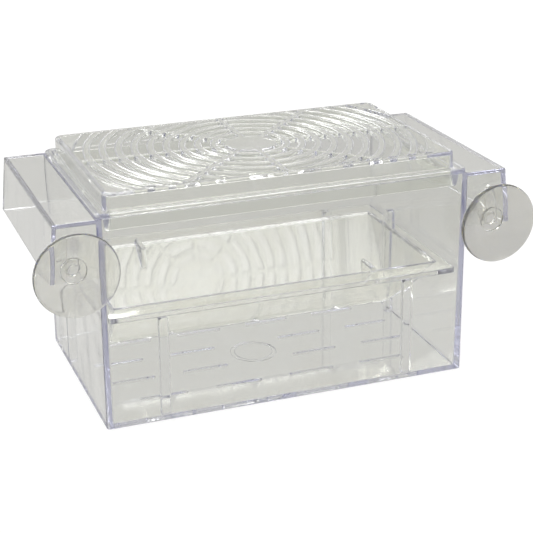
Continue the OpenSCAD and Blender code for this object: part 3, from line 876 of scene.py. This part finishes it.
for word, side in (("left", -1), ("right", 1)):
    cup = makeCup("suction_cup_" + word + "_soft", side, cupSize[word + "Z"])
    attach(cup, "cup_" + word + "_body")
    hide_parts("suction_cup_" + word)
print("suction cups made")


# Studio: a floor, a white surround and soft boxes. How bright the floor and the surround are
# depends on the kind of ray, and for the surround on the direction too; lengths are in metres.

studio = {
    "cameraSees": 1.0, "throughTone": "#FFFEFC",
    "backGloss": 0.78, "frontGloss": 0.34, "topGloss": 0.55,
    "backThrough": 0.70, "frontThrough": 0.50, "diffuseStrength": 0.90,
    "floorShade": "#525251", "floorSeen": 0.93, "floorGlossed": 0.70,
    "poolNear": 0.62, "poolFar": 0.43, "poolStart": 0.07, "poolEnd": 0.22,
    "blend": 0.35, "topFrom": 0.6, "topTo": 0.95,
    "floorReach": 6.0, "floorZ": -0.0004, "aimZ": 0.06,
}
softBoxes = {
    "overhead": {"azimuth": -27, "elevation": 75, "distance": 1.5, "size": (1.5, 1.5),
                 "power": 16},
    "backLeft": {"azimuth": 118, "elevation": 44, "distance": 1.6, "size": (2.0, 0.35),
                 "power": 15},
    "frontLeft": {"azimuth": -150, "elevation": 35, "distance": 1.8, "size": (0.8, 0.8),
                  "power": 2.5},
}


def bySight(tree, seen, glossed, through, other):
    # picks a strength by the kind of ray: camera, glossy, transmission or any other
    ray = addNode(tree, "ShaderNodeLightPath").outputs
    value = other
    for kind, strength in (("Is Glossy Ray", glossed), ("Is Transmission Ray", through),
                           ("Is Camera Ray", seen)):
        value = addNode(tree, "ShaderNodeMix", {0: ray[kind], 2: value, 3: strength}).outputs[0]
    return value


def toneBySight(tree):
    # pure white straight to the camera, and a little warmer for every other ray
    ray = addNode(tree, "ShaderNodeLightPath").outputs
    return addNode(tree, "ShaderNodeMix",
                   {0: ray["Is Camera Ray"], 6: linear(studio["throughTone"]),
                    7: linear("#FFFFFF")}, data_type="RGBA").outputs[2]


def makeStudio():
    world = bpy.data.worlds.new("studio surround")
    world.use_nodes = True
    scene.world = world
    tree = world.node_tree
    tree.nodes.clear()
    way = addNode(tree, "ShaderNodeTexCoord").outputs["Generated"]
    apart = addNode(tree, "ShaderNodeSeparateXYZ", {0: way})
    gloss, through = (
        addNode(tree, "ShaderNodeMapRange",
                {"Value": apart.outputs["Y"],
                 "From Min": -studio["blend"], "From Max": studio["blend"],
                 "To Min": studio["front" + kind], "To Max": studio["back" + kind]},
                interpolation_type="SMOOTHSTEP").outputs["Result"] for kind in ("Gloss", "Through"))
    overhead = addNode(tree, "ShaderNodeMapRange",
                       {"Value": apart.outputs["Z"],
                        "From Min": studio["topFrom"], "From Max": studio["topTo"]},
                       interpolation_type="SMOOTHSTEP")
    gloss = addNode(tree, "ShaderNodeMix",
                    {0: overhead.outputs["Result"], 2: gloss, 3: studio["topGloss"]})
    strength = bySight(tree, studio["cameraSees"], gloss.outputs[0], through,
                       studio["diffuseStrength"])
    sky = addNode(tree, "ShaderNodeBackground", {"Color": toneBySight(tree), "Strength": strength})
    addNode(tree, "ShaderNodeOutputWorld", {"Surface": sky.outputs["Background"]})

    material, tree = newMaterial("pale studio floor")
    # seen through the plastic, the light pools round the middle of the floor
    place = addNode(tree, "ShaderNodeTexCoord").outputs["Object"]
    away = addNode(tree, "ShaderNodeVectorMath", {0: place}, operation="LENGTH").outputs["Value"]
    pool = addNode(tree, "ShaderNodeMapRange",
                   {"Value": away, "From Min": studio["poolStart"], "From Max": studio["poolEnd"],
                    "To Min": studio["poolNear"], "To Max": studio["poolFar"]},
                   interpolation_type="SMOOTHSTEP")
    glow = bySight(tree, studio["floorSeen"], studio["floorGlossed"], pool.outputs["Result"], 0.0)
    matt = addNode(tree, "ShaderNodeBsdfDiffuse", {"Color": linear(studio["floorShade"])})
    light = addNode(tree, "ShaderNodeEmission", {"Color": toneBySight(tree), "Strength": glow})
    both = addNode(tree, "ShaderNodeAddShader",
                   {0: matt.outputs["BSDF"], 1: light.outputs["Emission"]})
    addNode(tree, "ShaderNodeOutputMaterial", {"Surface": both.outputs["Shader"]})
    reach, z = studio["floorReach"] / mm, studio["floorZ"] / mm
    floor = newPiece("studio_floor", [(-reach, -reach, z), (reach, -reach, z),
                                      (reach, reach, z), (-reach, reach, z)], [[0, 1, 2, 3]])
    floor.data.materials.append(material)

    for name, box in softBoxes.items():
        data = bpy.data.lights.new(name, "AREA")
        data.shape = "RECTANGLE"
        data.size, data.size_y = box["size"]
        data.energy = box["power"]
        lamp = bpy.data.objects.new(name, data)
        a, e = math.radians(box["azimuth"]), math.radians(box["elevation"])
        out = Vector((math.cos(a) * math.cos(e), math.sin(a) * math.cos(e), math.sin(e)))
        lamp.location = out * box["distance"] + Vector((0, 0, studio["aimZ"]))
        lamp.rotation_mode = "QUATERNION"
        lamp.rotation_quaternion = out.to_track_quat("Z", "Y")
        scene.collection.objects.link(lamp)


makeStudio()
scene.view_settings.view_transform = "Standard"
# light crosses many walls of clear plastic, and their edges turn black with fewer bounces
scene.cycles.max_bounces = 48
scene.cycles.transmission_bounces = 48
scene.cycles.transparent_max_bounces = 32
scene.cycles.glossy_bounces = 48
scene.cycles.diffuse_bounces = 4
print("studio made")
